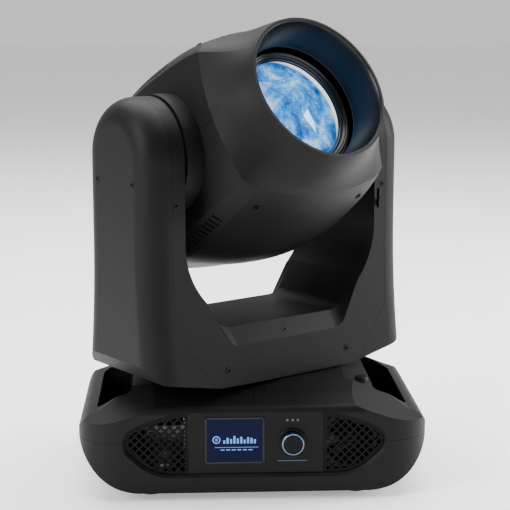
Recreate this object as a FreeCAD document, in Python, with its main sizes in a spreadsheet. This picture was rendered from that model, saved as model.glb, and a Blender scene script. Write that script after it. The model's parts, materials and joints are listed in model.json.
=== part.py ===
"""Moving head light: base with carrying handles, panning yoke and tilting head.

Millimetres, +Z up, X along the front, -Y to the front. The origin is on the pan axis at the
plane that the rubber feet stand on. The yoke rests turned by pan_rest about Z and the head
rests tipped forward by tilt_rest from straight up.
"""
import FreeCAD, Part
import math
import os

import Sketcher

# ---------------------------------------------------------------- driving dimensions
SIZES = {
    # base housing
    "base_half_width": 204, "base_half_depth": 140, "base_corner_radius": 52,
    "base_top": 125.5, "base_split": 68, "wall": 2.8, "seam": 0.3,
    "foot_radius": 14, "foot_height": 9, "foot_spread_x": 120, "foot_spread_y": 105,
    "handle_inner": 142, "handle_outer": 183, "handle_half_length": 85, "handle_floor": 52,
    "mount_spacing_x": 210, "mount_spacing_y": 106, "mount_hole_radius": 6,
    "safety_half_x": 25, "safety_half_y": 18, "safety_depth": 25, "safety_bar_radius": 4,
    # front and rear panels
    "panel_recess": 5, "panel_thickness": 2.5, "panel_left": -76, "panel_right": 79,
    "mesh_pitch": 7, "mesh_hole": 5, "mesh_border": 3.5,
    "screen_left": -57, "screen_right": 11, "screen_bottom": 42.5, "screen_top": 96.8,
    "knob_x": 43.5, "knob_z": 67, "knob_flange_radius": 16.75, "knob_ring_radius": 12.85,
    "knob_sleeve_radius": 10.4, "knob_stem_radius": 9.3,
    "socket_radius": 12, "pan_lock_x": 130, "pan_lock_y": -70, "pan_lock_radius": 7.3,
    # pan drive
    "pan_rest": 35, "shaft_radius": 24, "shaft_bore": 18, "bearing_radius": 38,
    "bearing_width": 12, "fit": 0.05, "clearance": 0.3, "large_pulley_radius": 44,
    "small_pulley_radius": 9, "pulley_width": 10, "belt_thickness": 1.5,
    "motor_side": 42, "motor_length": 24, "motor_shaft_radius": 2.5, "pan_motor_x": -70,
    # yoke
    "yoke_bottom": 127.5, "yoke_half_width": 191.5, "arm_inner": 142, "arm_half_depth": 68,
    "arm_edge_radius": 30, "cover_split": 160, "cover_knee": 196, "crossbar_top": 193,
    "crossbar_edge": 171, "arm_straight_from": 290, "frame_sheet": 3, "tilt_motor_drop": 110,
    # head
    "tilt_height": 392, "tilt_rest": 58.5, "head_half_width": 119, "head_half_height": 120,
    "head_rear": -165, "hood_seam": 95, "hood_rim": 154, "rim_radius": 88, "rim_lip": 3,
    "hood_throat": 76, "hood_throat_at": 110, "head_split": -4,
    "boss_radius": 70, "boss_reach": 139, "tilt_shaft_radius": 16, "tilt_shaft_bore": 11,
    "lens_radius": 67.7, "lens_view_radius": 64, "lens_seat": 94, "lens_dome": 8,
    "bezel_radius": 79, "chassis_half_width": 107, "chassis_sheet": 3,
    "wheel_radius": 58, "wheel_offset": 44, "wheel_thickness": 1.5,
    "fan_side": 92, "fan_depth": 25, "base_fan_side": 60, "base_fan_depth": 20,
    "sink_side": 100, "sink_length": 62, "focus_rod_radius": 3, "focus_rod_x": 50,
}

doc = FreeCAD.newDocument("MovingHeadLight")
sheet = doc.addObject("Spreadsheet::Sheet", "sizes")
for row, (alias, value) in enumerate(SIZES.items(), start=1):
    sheet.set(f"A{row}", alias)
    sheet.set(f"B{row}", str(value))
    sheet.setAlias(f"B{row}", alias)
doc.recompute()


class Size(float):
    """A number that remembers the sheet formula it comes from."""

    def __new__(cls, number, formula):
        self = float.__new__(cls, number)
        self.formula = formula
        return self

    def __add__(self, other):
        return Size(float(self) + float(other), f"({self.formula} + {formula_of(other)})")

    def __radd__(self, other):
        return Size(float(other) + float(self), f"({formula_of(other)} + {self.formula})")

    def __sub__(self, other):
        return Size(float(self) - float(other), f"({self.formula} - {formula_of(other)})")

    def __rsub__(self, other):
        return Size(float(other) - float(self), f"({formula_of(other)} - {self.formula})")

    def __mul__(self, other):
        return Size(float(self) * float(other), f"({self.formula} * {formula_of(other)})")

    def __rmul__(self, other):
        return Size(float(other) * float(self), f"({formula_of(other)} * {self.formula})")

    def __truediv__(self, other):
        return Size(float(self) / float(other), f"({self.formula} / {formula_of(other)})")

    def __neg__(self):
        return Size(-float(self), f"(-1 * {self.formula})")


def formula_of(number):
    """The sheet formula of a number, or the number itself as text."""
    return number.formula if isinstance(number, Size) else f"{float(number):.6f}"


class Sheet:
    """Reads a driving dimension from the spreadsheet by its alias."""

    def __getattr__(self, alias):
        return Size(float(sheet.get(alias)), f"sizes.{alias}")


d = Sheet()
nodes = []


# ---------------------------------------------------------------- small helpers
def vec(x, y, z):
    return FreeCAD.Vector(float(x), float(y), float(z))


def place(x=0, y=0, z=0, axis=(0, 0, 1), angle=0):
    return FreeCAD.Placement(vec(x, y, z), FreeCAD.Rotation(vec(*axis), float(angle)))


BASE = place()
YOKE = place(angle=d.pan_rest)
HEAD = YOKE * place(0, 0, d.tilt_height, (1, 0, 0), d.tilt_rest)
FRONT = place(axis=(1, 0, 0), angle=90)     # turns local +Z to the front, -Y


def bind(item, **sizes):
    """Ties properties of a document object to sheet formulas."""
    for prop, number in sizes.items():
        item.setExpression(prop, formula_of(number))


def node(item, label, frame=BASE, local=place()):
    """Names a finished sub-part, places it in its body's frame and lists it for export."""
    item.Label = label
    item.Placement = frame * local
    nodes.append(item)
    return item


def feature(shape, label, frame=BASE):
    item = doc.addObject("Part::Feature", label)
    item.Shape = shape
    return node(item, label, frame)


def cylinder(radius, height, at=place()):
    item = doc.addObject("Part::Cylinder", "cylinder")
    bind(item, Radius=radius, Height=height)
    item.Placement = at
    return item


def box(x_size, y_size, z_size, at=place()):
    """A box centred on X and Y that rises from its placement."""
    item = doc.addObject("Part::Box", "box")
    bind(item, Length=x_size, Width=y_size, Height=z_size)
    item.Placement = at * place(-float(x_size) / 2, -float(y_size) / 2, 0)
    return item


def cut(base, tool):
    item = doc.addObject("Part::Cut", "cut")
    item.Base = base
    item.Tool = tool
    return item


def fuse(items):
    item = doc.addObject("Part::MultiFuse", "fuse")
    item.Shapes = items
    return item


def group(items):
    item = doc.addObject("Part::Compound", "group")
    item.Links = items
    return item


def tube(outer, inner, height, at=place()):
    return cut(cylinder(outer, height, at), cylinder(inner, height, at))


def body_sketch(body, role):
    sketch = body.newObject("Sketcher::SketchObject", "outline")
    plane = [item for item in body.Origin.OriginFeatures if item.Role == role][0]
    sketch.AttachmentSupport = [(plane, "")]
    sketch.MapMode = "FlatFace"
    return sketch


def draw_polygon(sketch, points):
    """A closed polygon whose corners are tied to the sheet."""
    first = sketch.GeometryCount
    count = len(points)
    for index, point in enumerate(points):
        after = points[(index + 1) % count]
        line = Part.LineSegment(vec(point[0], point[1], 0), vec(after[0], after[1], 0))
        sketch.addGeometry(line, False)
    for index in range(count):
        after = first + (index + 1) % count
        sketch.addConstraint(Sketcher.Constraint("Coincident", first + index, 2, after, 1))
    for index, point in enumerate(points):
        for kind, number in zip(("DistanceX", "DistanceY"), point):
            rule = Sketcher.Constraint(kind, -1, 1, first + index, 1, float(number))
            place_in_list = sketch.addConstraint(rule)
            if isinstance(number, Size):
                sketch.setExpression(f"Constraints[{place_in_list}]", number.formula)


def draw_circle(sketch, x, y, radius):
    index = sketch.addGeometry(Part.Circle(vec(x, y, 0), vec(0, 0, 1), float(radius)), False)
    for kind, number in (("DistanceX", x), ("DistanceY", y)):
        rule = sketch.addConstraint(Sketcher.Constraint(kind, -1, 1, index, 3, float(number)))
        if isinstance(number, Size):
            sketch.setExpression(f"Constraints[{rule}]", number.formula)
    rule = sketch.addConstraint(Sketcher.Constraint("Radius", index, float(radius)))
    sketch.setExpression(f"Constraints[{rule}]", formula_of(radius))


def lathe(points):
    """A body turned about Z from (radius, height) corners."""
    body = doc.addObject("PartDesign::Body", "Turned")
    sketch = body_sketch(body, "XZ_Plane")
    draw_polygon(sketch, points)
    turned = body.newObject("PartDesign::Revolution", "Turn")
    turned.Profile = sketch
    turned.ReferenceAxis = (sketch, ["V_Axis"])
    turned.Angle = 360
    body.Tip = turned
    return body


def plate(points, thickness, holes=()):
    """A flat body: an XY outline with round holes (x, y, radius), as thick as given."""
    body = doc.addObject("PartDesign::Body", "Plate")
    sketch = body_sketch(body, "XY_Plane")
    draw_polygon(sketch, points)
    for x, y, radius in holes:
        draw_circle(sketch, x, y, radius)
    pad = body.newObject("PartDesign::Pad", "Pad")
    pad.Profile = sketch
    bind(pad, Length=thickness)
    body.Tip = pad
    return body


def corners(half_x, half_y):
    return [(-half_x, -half_y), (half_x, -half_y), (half_x, half_y), (-half_x, half_y)]


def wheel(radius, thickness, bore, pitch, hole_radius, count):
    """A disc body with a bore and a ring of equal holes."""
    body = doc.addObject("PartDesign::Body", "Wheel")
    sketch = body_sketch(body, "XY_Plane")
    draw_circle(sketch, 0, 0, radius)
    draw_circle(sketch, 0, 0, bore)
    pad = body.newObject("PartDesign::Pad", "Disc")
    pad.Profile = sketch
    bind(pad, Length=thickness)
    doc.recompute()
    opening = body_sketch(body, "XY_Plane")
    draw_circle(opening, pitch, 0, hole_radius)
    pocket = body.newObject("PartDesign::Pocket", "Opening")
    pocket.Profile = opening
    pocket.Reversed = True
    bind(pocket, Length=thickness * 2)
    ring = body.newObject("PartDesign::PolarPattern", "Openings")
    ring.Originals = [pocket]
    ring.Axis = (opening, ["N_Axis"])
    ring.Angle = 360
    ring.Occurrences = count
    body.Tip = ring
    return body


# ---------------------------------------------------------------- outlines for housings
def path(start, *steps):
    """2-D edges from a start: each step is an end point, or (via, end) for an arc."""
    edges = []
    here = start
    for step in steps:
        if isinstance(step[0], tuple):
            edges.append((here, step[0], step[1]))
            here = step[1]
        else:
            edges.append((here, step))
            here = step
    return edges


def mirrored(edges):
    """The edges and their mirror images in the vertical axis."""
    return edges + [tuple((-a, b) for a, b in edge) for edge in edges]


def face(edges, plane, level):
    """A face from 2-D edges on an XZ, YZ or XY plane at a level."""
    spread = {
        "XZ": lambda a, b: vec(a, level, b),
        "YZ": lambda a, b: vec(level, a, b),
        "XY": lambda a, b: vec(a, b, level),
    }[plane]
    curves = []
    for edge in edges:
        ends = [spread(*point) for point in edge]
        curve = Part.Arc(*ends) if len(ends) == 3 else Part.LineSegment(*ends)
        curves.append(curve.toShape())
    return Part.Face(Part.Wire(Part.sortEdges(curves)[0]))


def grown(flat, distance):
    """The face with its outline moved outward, or inward when negative."""
    if not distance:
        return flat
    moved = flat.makeOffset2D(float(distance), 0 if distance < 0 else 2)
    return moved if moved.ShapeType == "Face" else moved.Faces[0]


def solid_box(x_range, y_range, z_range):
    size = [float(high) - float(low) for low, high in (x_range, y_range, z_range)]
    return Part.makeBox(*size, vec(x_range[0], y_range[0], z_range[0]))


def round_bar(radius, start, direction, length):
    return Part.makeCylinder(float(radius), float(length), vec(*start), vec(*direction))


FAR = 400       # longer than any housing, for cutting blocks


# ---------------------------------------------------------------- base housing
def base_outline():
    """Front view of the base, right half, from the bottom centre to the top centre."""
    half = d.base_half_width
    top = d.base_top
    low = d.foot_height
    widest = d.base_split - 0.35      # the ridge lies in the seam between tray and covers
    return path(
        (0, low), (half - 80, low), ((half - 21, low + 22), (half, widest)),
        ((half - 4, widest + 18), (half - 21, top - 30)), (half - 61, top - 7),
        (half - 94, top), (0, top))


def base_side():
    """Side view of the base, half, from the bottom centre to the top centre."""
    half = d.base_half_depth
    top = d.base_top
    return path(
        (0, d.foot_height), (half, d.foot_height), (half, top - 24),
        ((half - 2.6, top - 17.5), (half - 9, top - 14)), (half - 30, top - 8),
        (half - 68, top), (0, top))


def base_plan():
    half_x = float(d.base_half_width)
    half_y = float(d.base_half_depth)
    turn = float(d.base_corner_radius)
    bend = turn * (1 - math.sqrt(0.5))
    return path(
        (0, -half_y), (half_x - turn, -half_y),
        ((half_x - bend, -half_y + bend), (half_x, -half_y + turn)), (half_x, half_y - turn),
        ((half_x - bend, half_y - bend), (half_x - turn, half_y)), (0, half_y))


def base_block(inset):
    """The base's outer form, moved inward all round by the inset."""
    half_x = d.base_half_width - inset
    half_y = d.base_half_depth - inset
    front = grown(face(mirrored(base_outline()), "XZ", -half_y), -inset)
    side = grown(face(mirrored(base_side()), "YZ", -half_x), -inset)
    plan = grown(face(mirrored(base_plan()), "XY", 0), -inset)
    block = front.extrude(vec(0, 2 * half_y, 0))
    block = block.common(side.extrude(vec(2 * half_x, 0, 0)))
    block = block.common(plan.extrude(vec(0, 0, FAR)))
    for sign_x in (-1, 1):
        for sign_y in (-1, 1):
            slope = vec(0.331 * sign_x, 0.264 * sign_y, 1).normalize()
            start = vec(sign_x * (d.base_half_width - 94), sign_y * (d.base_half_depth - 8),
                        d.base_top - 12.5) - slope * float(inset)
            slab = Part.makeBox(2 * FAR, 2 * FAR, FAR, vec(-FAR, -FAR, 0))
            turn = FreeCAD.Rotation(vec(0, 0, 1), slope)
            slab.Placement = FreeCAD.Placement(start, turn)
            block = block.cut(slab)
    return block


def handle_well(sign, margin):
    """The finger well behind a handle bar, grown by the margin."""
    x_range = sorted((sign * (d.handle_inner - margin), sign * (d.handle_outer + margin)))
    reach = d.handle_half_length + margin
    well = solid_box(x_range, (-reach, reach), (d.handle_floor - margin, d.base_top + 20))
    upright = [edge for edge in well.Edges if abs(edge.tangentAt(0).z) > 0.9]
    return well.makeFillet(float(8 + margin), upright)


def eye_outline():
    """The almond window of the front and rear panels, right half, bottom to top."""
    return path(
        (0, 30), (98, 30), ((124, 38.5), (140, 52)), ((149, 69), (140, 83)),
        ((108, 95.8), (72, 103)), (0, 103))


def eye_prism(margin, y_from, y_to):
    flat = grown(face(mirrored(eye_outline()), "XZ", y_from), margin)
    return flat.extrude(vec(0, y_to - y_from, 0))


def eye_bevel(sign):
    """A bevel round the window, 3 mm wide at the outer face."""
    front = float(d.base_half_depth)
    wide = grown(face(mirrored(eye_outline()), "XZ", sign * (front + 0.5)), 3.5)
    narrow = face(mirrored(eye_outline()), "XZ", sign * (front - 3))
    return Part.makeLoft([wide.OuterWire, narrow.OuterWire], True, True)


def safety_well(margin):
    half_x = d.safety_half_x + margin
    half_y = d.safety_half_y + margin
    return solid_box((-half_x, half_x), (-half_y, half_y),
                     (0, d.foot_height + d.safety_depth + margin))


def mount_points():
    for sign_x in (-1, 1):
        for sign_y in (-1, 1):
            yield sign_x * d.mount_spacing_x / 2, sign_y * d.mount_spacing_y / 2


def base_screw_sites():
    """Centres of the two screws in the base's front top edge."""
    return [(-13, -100, d.base_top - 6.3), (14, -100, d.base_top - 6.3)]


def make_base_housing():
    outer = base_block(0)
    inner = base_block(d.wall)
    shell = outer.cut(inner)
    for sign in (-1, 1):
        reach = sorted((sign * (d.base_half_depth - 20), sign * (d.base_half_depth + 5)))
        behind = d.base_half_depth - d.panel_recess - d.panel_thickness
        lip = sorted((sign * behind, sign * (d.base_half_depth - 1)))
        shell = shell.fuse(eye_prism(2.5, *lip).common(outer))
        shell = shell.cut(eye_prism(0, *reach)).cut(eye_bevel(sign))
    gap = d.seam / 2
    upper = (d.base_split + gap, FAR)
    lower = (0, d.base_split - gap)
    wide = (-FAR, FAR)
    tray = shell.common(solid_box(wide, wide, lower))
    tray = tray.fuse(safety_well(d.wall).common(outer)).cut(safety_well(0))
    for x, y in mount_points():
        tray = tray.cut(round_bar(d.socket_radius + d.clearance, (x, y, 0), (0, 0, 1), 20))
    feature(tray, "base_tray")
    shaft_hole = round_bar(d.shaft_radius + 0.8, (0, 0, 100), (0, 0, 1), 60)
    lock_hole = round_bar(d.pan_lock_radius + d.clearance,
                          (d.pan_lock_x, d.pan_lock_y, 90), (0, 0, 1), 60)
    for sign, label in ((-1, "base_cover_left"), (1, "base_cover_right")):
        side = (-FAR, -gap) if sign < 0 else (gap, FAR)
        liner = handle_well(sign, d.wall).common(outer)
        cover = shell.common(solid_box(side, wide, upper)).fuse(liner)
        cover = cover.cut(handle_well(sign, 0)).cut(shaft_hole).cut(lock_hole)
        for x, y, z in base_screw_sites():
            cover = cover.cut(round_bar(3.6, (x, y, z - 8), (0, 0, 1), 20))
        feature(cover, label)


def panel_plate(sign):
    """Flat plate that fills the almond window, its outer face recessed from the front."""
    outer_face = d.base_half_depth - d.panel_recess
    y_range = sorted((sign * (outer_face - d.panel_thickness), sign * outer_face))
    return eye_prism(-0.25, *y_range), y_range


def make_front_panel():
    panel, y_range = panel_plate(-1)
    tall = (0, FAR)
    gap = 0.2
    centre = panel.common(solid_box((d.panel_left, d.panel_right), y_range, tall))
    window = solid_box((d.screen_left - gap, d.screen_right + gap), y_range,
                       (d.screen_bottom - gap, d.screen_top + gap))
    centre = centre.cut(window)
    centre = centre.cut(round_bar(d.knob_sleeve_radius + gap, (d.knob_x, -FAR, d.knob_z),
                                  (0, 1, 0), FAR))
    feature(centre, "front_panel")
    inner = eye_prism(-d.mesh_border, *y_range)
    grilles = []
    for x_range in ((-FAR, d.panel_left - gap), (d.panel_right + gap, FAR)):
        border = (x_range[0] + d.mesh_border, x_range[1] - d.mesh_border)
        field = inner.common(solid_box(border, y_range, tall))
        holes = mesh_holes(field.BoundBox, y_range)
        sheet_metal = panel.common(solid_box(x_range, y_range, tall))
        grilles.append(sheet_metal.cut(field.common(holes)))
    feature(Part.makeCompound([one.Solids[0] for one in grilles]), "front_grilles")


def mesh_holes(bounds, y_range):
    """Square holes set on their corners, in a lattice over the bounds."""
    step = float(d.mesh_pitch)
    side = float(d.mesh_hole)
    reach = int(max(bounds.XLength, bounds.ZLength) / step) + 1
    turn = place(bounds.Center.x, y_range[0], bounds.Center.z, (0, 1, 0), 45)
    holes = []
    for row in range(-reach, reach + 1):
        for column in range(-reach, reach + 1):
            spot = turn.multVec(vec(row * step, 0, column * step))
            if bounds.XMin - side < spot.x < bounds.XMax + side \
                    and bounds.ZMin - side < spot.z < bounds.ZMax + side:
                hole = Part.makeBox(side, float(y_range[1] - y_range[0]), side,
                                    vec(-side / 2, 0, -side / 2))
                hole.Placement = place(spot.x, spot.y, spot.z, (0, 1, 0), 45)
                holes.append(hole)
    return Part.makeCompound(holes)


# Rear connectors: (x, z) centres on the rear panel.
POWER_SITES = [(-108, 67), (-72, 67)]
DATA_SITES = [(-36, 84), (-36, 50), (-4, 84), (-4, 50)]
NETWORK_SITES = [(28, 82), (28, 52)]


def make_rear_panel():
    panel, y_range = panel_plate(1)
    for sites, radius in ((POWER_SITES, 13), (DATA_SITES, 11.5)):
        for x, z in sites:
            panel = panel.cut(round_bar(radius, (x, 0, z), (0, 1, 0), FAR))
    for x, z in NETWORK_SITES:
        panel = panel.cut(solid_box((x - 8, x + 8), y_range, (z - 7, z + 7)))
    field = solid_box((84, 132), y_range, (44, 90)).common(eye_prism(-6, *y_range))
    panel = panel.cut(field.common(mesh_holes(field.BoundBox, y_range)))
    feature(panel, "rear_panel")
    back = place(axis=(1, 0, 0), angle=-90)     # turns local +Z to the rear, +Y
    face_y = d.base_half_depth - d.panel_recess

    def sockets(sites, barrel, flange, hollow, label):
        made = []
        for x, z in sites:
            profile = [(0, -14), (barrel, -14), (barrel, 0), (flange, 0), (flange, 2),
                       (hollow, 2), (hollow, -8), (0, -8)]
            one = lathe(profile)
            one.Placement = place(x, face_y, z) * back
            made.append(one)
        node(group(made), label)

    sockets(POWER_SITES, 12.8, 16, 10.5, "power_connectors")
    sockets(DATA_SITES, 11.3, 13.5, 9, "data_connectors")
    jacks = []
    for x, z in NETWORK_SITES:
        at = place(x, face_y, z) * back
        shell = box(15.6, 13.6, 16, at * place(0, 0, -14))
        jacks.append(cut(shell, box(11.7, 8.5, 10, at * place(0, 0, -7.9))))
    node(group(jacks), "network_sockets")


def make_base_fittings():
    feet = []
    for sign_x in (-1, 1):
        for sign_y in (-1, 1):
            foot = lathe([(0, 0), (d.foot_radius - 1.5, 0), (d.foot_radius, 1.5),
                          (d.foot_radius - 1, d.foot_height), (0, d.foot_height)])
            foot.Placement = place(sign_x * d.foot_spread_x, sign_y * d.foot_spread_y, 0)
            feet.append(foot)
    node(group(feet), "rubber_feet")
    sockets = []
    floor = d.foot_height + d.wall
    for x, y in mount_points():
        ring = lathe([(d.mount_hole_radius, d.foot_height), (d.socket_radius, d.foot_height),
                      (d.socket_radius, floor), (d.socket_radius + 3, floor),
                      (d.socket_radius + 3, floor + 2), (d.mount_hole_radius, floor + 2)])
        ring.Placement = place(x, y, 0)
        sockets.append(ring)
    node(group(sockets), "mount_receptacles")
    bar = cylinder(d.safety_bar_radius, 2 * d.safety_half_y)
    node(bar, "safety_bar", BASE, place(0, d.safety_half_y, d.foot_height + 7) * FRONT)
    heads = []
    for x, y, z in base_screw_sites():
        heads.append(cut(cylinder(3.3, 3, place(x, y, z - 2.2)),
                         cylinder(1.5, 2, place(x, y, z - 0.9))))
    node(group(heads), "base_screws")


def make_display():
    front_face = d.base_half_depth - d.panel_recess
    width = d.screen_right - d.screen_left
    height = d.screen_top - d.screen_bottom
    middle_x = (d.screen_left + d.screen_right) / 2
    middle_z = (d.screen_top + d.screen_bottom) / 2
    screen = box(width, height, 5.8, place(middle_x, -(front_face - 5), middle_z) * FRONT)
    node(group([screen]), "display_screen")
    board = plate(corners(63, 30), 1.6)
    board.Placement = place(2, -(front_face - 6.6), 67) * FRONT
    floor = d.foot_height + d.wall
    plate_z = floor + 8
    main = fuse([box(92, 72, 1.6, place(80, 0, plate_z)), box(30, 30, 8, place(80, 14, plate_z))]
                + [cylinder(3, 8, place(80 + sx * 40, sy * 30, floor))
                   for sx in (-1, 1) for sy in (-1, 1)])
    node(group([board, main]), "control_boards")


def make_knob():
    """Selector wheel round a push button on a fixed sleeve; local +Z points out of the panel."""
    at = place(d.knob_x, -(d.base_half_depth - d.panel_recess), d.knob_z) * FRONT
    sleeve = d.knob_sleeve_radius
    flange = d.knob_flange_radius
    node(lathe([(sleeve - 1, -3.8), (sleeve, -3.8), (sleeve, 0), (flange, 0), (flange, 1.2),
                (flange - 0.8, 2), (sleeve, 2), (sleeve, 8.2), (sleeve - 1, 8.2)]),
         "knob_flange", BASE, at)
    outer = d.knob_ring_radius
    node(lathe([(sleeve + d.fit, 2.3), (outer, 2.3), (outer, 11), (outer - 0.6, 11.6),
                (sleeve + 1, 11.6), (sleeve + 1, 8.2), (sleeve + d.fit, 8.2)]),
         "knob_ring", BASE, at)
    stem = d.knob_stem_radius
    cap = sleeve + 0.7
    node(lathe([(0, -3.6), (stem, -3.6), (stem, 9.8), (cap, 9.8), (cap, 12), (cap - 0.6, 12.4),
                (0, 12.4)]), "knob_button", BASE, at)


def make_pan_lock():
    height = 22
    top = d.yoke_bottom - 0.8
    button = lathe([(0, 0), (d.pan_lock_radius, 0), (d.pan_lock_radius, height - 1),
                    (d.pan_lock_radius - 1, height), (0, height)])
    node(button, "pan_lock_button", BASE, place(d.pan_lock_x, d.pan_lock_y, top - height))


def make_base_inside():
    floor = d.foot_height + d.wall
    deck = d.base_top - d.wall - 5
    legs = [box(12, 12, deck - floor, place(sx * 76, sy * 72, floor))
            for sx in (-1, 1) for sy in (-1, 1)]
    top = cut(box(190, 156, 3, place(0, 0, deck)),
              cylinder(d.shaft_bore, 3, place(0, 0, deck)))
    node(fuse(legs + [top]), "base_chassis")
    lower = deck + 3
    collar = d.yoke_bottom + 4.3 + d.frame_sheet + d.bearing_width + 0.2
    reach = d.crossbar_top - 18
    node(lathe([(d.shaft_bore, lower), (40, lower), (40, lower + 1.7),
                (d.shaft_radius, lower + 1.7), (d.shaft_radius, collar),
                (d.bearing_radius - 4, collar), (d.bearing_radius - 4, collar + 2.5),
                (d.shaft_radius, collar + 2.5), (d.shaft_radius, reach),
                (d.shaft_bore, reach)]), "pan_shaft")
    supply = fuse([box(94, 68, 46, place(-81, 0, floor)), box(94, 74, 2, place(-81, 0, floor))])
    node(supply, "power_supply")


def fan_frame(side, depth):
    """Square fan frame with a round bore, a hub and four spokes at the back."""
    bore = side / 2 - 2
    ring = cut(box(side, side, depth), cylinder(bore, depth))
    hub = cylinder(side / 6, 3)
    spokes = [box(side - 3, 2.5, 3, place(angle=turn)) for turn in (45, 135)]
    return fuse([ring, hub] + spokes)


def fan_rotor(side, depth, blades=7):
    """Hub with pitched blades, clear of the frame's bore."""
    reach = side / 2 - 3
    hub_radius = side / 6
    hub = cylinder(hub_radius, depth - 6, place(0, 0, 4))
    parts = [hub]
    for index in range(blades):
        turn = place(angle=360 / blades * index)
        blade = box(reach - hub_radius + 1, 1.6, depth - 8)
        lean = place((reach + hub_radius - 1) / 2, 0, depth / 2, (1, 0, 0), 32)
        blade.Placement = turn * lean * place(-float(reach - hub_radius + 1) / 2, -0.8,
                                              -float(depth - 8) / 2)
        parts.append(blade)
    return fuse(parts)


def make_base_fan():
    front_face = d.base_half_depth - d.panel_recess - d.panel_thickness
    at = place(110, -(front_face - d.base_fan_depth), 66) * FRONT
    node(fan_frame(d.base_fan_side, d.base_fan_depth), "base_fan_frame", BASE, at)
    node(fan_rotor(d.base_fan_side, d.base_fan_depth), "base_fan_rotor", BASE, at)


# ---------------------------------------------------------------- yoke housing
def arm_side():
    """Side view of an arm, half: round top, straight sides that widen toward the crossbar."""
    half = float(d.arm_half_depth)
    straight = float(d.arm_straight_from) + 10
    flare = 1161.0

    def depth_at(level):
        return half + flare - math.sqrt(flare ** 2 - (straight - level) ** 2)

    axis = float(d.tilt_height)
    turn = half * math.sqrt(0.5)
    low = float(d.yoke_bottom) - 8
    middle = (low + straight) / 2
    return path(
        (0, low), (depth_at(low), low), ((depth_at(middle), middle), (half, straight)),
        (half, axis), ((turn, axis + turn), (0, axis + half)))


def yoke_outline():
    """Front view of the yoke without the U opening, half."""
    half = d.yoke_half_width + 3
    low = d.yoke_bottom
    top = d.tilt_height + 90
    return path((0, low), (60, low), (103, low + 1), (half - 16.5, low + 15.5),
                (half, low + 37), (half, top), (0, top))


def throat_outline(knee, slope_top, slope_low, floor_half, floor):
    """The U opening, half, from the floor centre to above the arms."""
    wide = d.arm_inner
    start = d.arm_straight_from
    return path(
        (0, floor), (floor_half, floor),
        ((slope_low[0] - 7.5, floor + (slope_low[1] - floor) * 0.3), slope_low), slope_top,
        (knee, (wide, start)), (wide, d.tilt_height + 100), (0, d.tilt_height + 100))


def throat(margin):
    """The U opening with its bevelled front and rear edges, grown by the margin."""
    inner_edges = throat_outline((137, 264), (118, 233), (94, 200), 76, d.crossbar_top)
    front_edges = throat_outline((134, 259), (112, 225), (91, 182), 74, d.crossbar_edge)
    steps = ((front_edges, -110.0), (front_edges, -77.0), (inner_edges, -60.0),
             (inner_edges, 60.0), (front_edges, 77.0), (front_edges, 110.0))
    wires = [grown(face(mirrored(edges), "XZ", depth), margin).OuterWire
             for edges, depth in steps]
    return Part.makeLoft(wires, True, True)


def yoke_block(inset):
    half = d.yoke_half_width - inset
    side = grown(face(mirrored(arm_side()), "YZ", -half), -inset)
    block = side.extrude(vec(2 * half, 0, 0))
    low = block.BoundBox.ZMin
    ends = [edge for edge in block.Edges
            if abs(abs(edge.CenterOfMass.x) - half) < 0.01 and edge.CenterOfMass.z > low + 1]
    block = block.makeFillet(float(d.arm_edge_radius - inset), ends)
    front = grown(face(mirrored(yoke_outline()), "XZ", -FAR), -inset)
    return block.common(front.extrude(vec(0, 2 * FAR, 0))).cut(throat(inset))


def arm_region(sign, margin):
    """The part of the yoke that an outer arm cover takes, grown by the margin."""
    split = d.cover_split - margin
    edges = path((split, FAR + 200), (split - 1, d.cover_knee), (105 - margin, 126),
                 (105 - margin, 60), (FAR, 60), (FAR, FAR + 200), (split, FAR + 200))
    edges = [tuple((sign * a, b) for a, b in edge) for edge in edges]
    return face(edges, "XZ", -FAR).extrude(vec(0, 2 * FAR, 0))


def yoke_screw_sites():
    """Screws of the yoke covers: position on the surface and outward direction."""
    for sign in (-1, 1):
        for face_sign in (-1, 1):
            yield (sign * 90, face_sign * 78.4, 147), (0, face_sign, 0)
            yield (sign * 154, face_sign * d.arm_half_depth, 343), (0, face_sign, 0)
            yield (sign * d.yoke_half_width, face_sign * 36, 366), (sign, 0, 0)
    for face_sign in (-1, 1):
        yield (0, face_sign * 68.5, 182), (0, face_sign * 0.791, 0.611)


def make_yoke_housing():
    shell = yoke_block(0).cut(yoke_block(d.wall))
    for sign in (-1, 1):
        shell = shell.cut(round_bar(d.tilt_shaft_radius + 0.8, (0, 0, d.tilt_height),
                                    (sign, 0, 0), d.arm_inner + 10))
    shell = shell.cut(round_bar(d.shaft_radius + 8, (0, 0, 100), (0, 0, 1), 50))
    for spot, outward in yoke_screw_sites():
        start = [float(a) - 6 * b for a, b in zip(spot, outward)]
        shell = shell.cut(round_bar(3.9, start, outward, 10))
    slot_x, slot_low, slot_high = tilt_lock_slot()
    shell = shell.cut(solid_box((slot_x - 2, slot_x + 2), (-FAR, -50), (slot_low, slot_high)))
    for sign, label in ((-1, "arm_cover_left"), (1, "arm_cover_right")):
        feature(shell.common(arm_region(sign, 0)), label, YOKE)
    centre = shell.cut(arm_region(-1, d.seam)).cut(arm_region(1, d.seam))
    gap = d.seam / 2
    wide = (-FAR, FAR)
    for y_range, label in (((-FAR, -gap), "yoke_front_cover"), ((gap, FAR), "yoke_rear_cover")):
        feature(centre.common(solid_box(wide, y_range, (0, 2 * FAR))), label, YOKE)


def tilt_lock_slot():
    """Slot of the tilt lock in the right arm's front: centre x, lower and upper ends."""
    half_keeper_and_gap = 3.2
    return d.arm_inner + d.wall + half_keeper_and_gap, 314, 338


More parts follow.
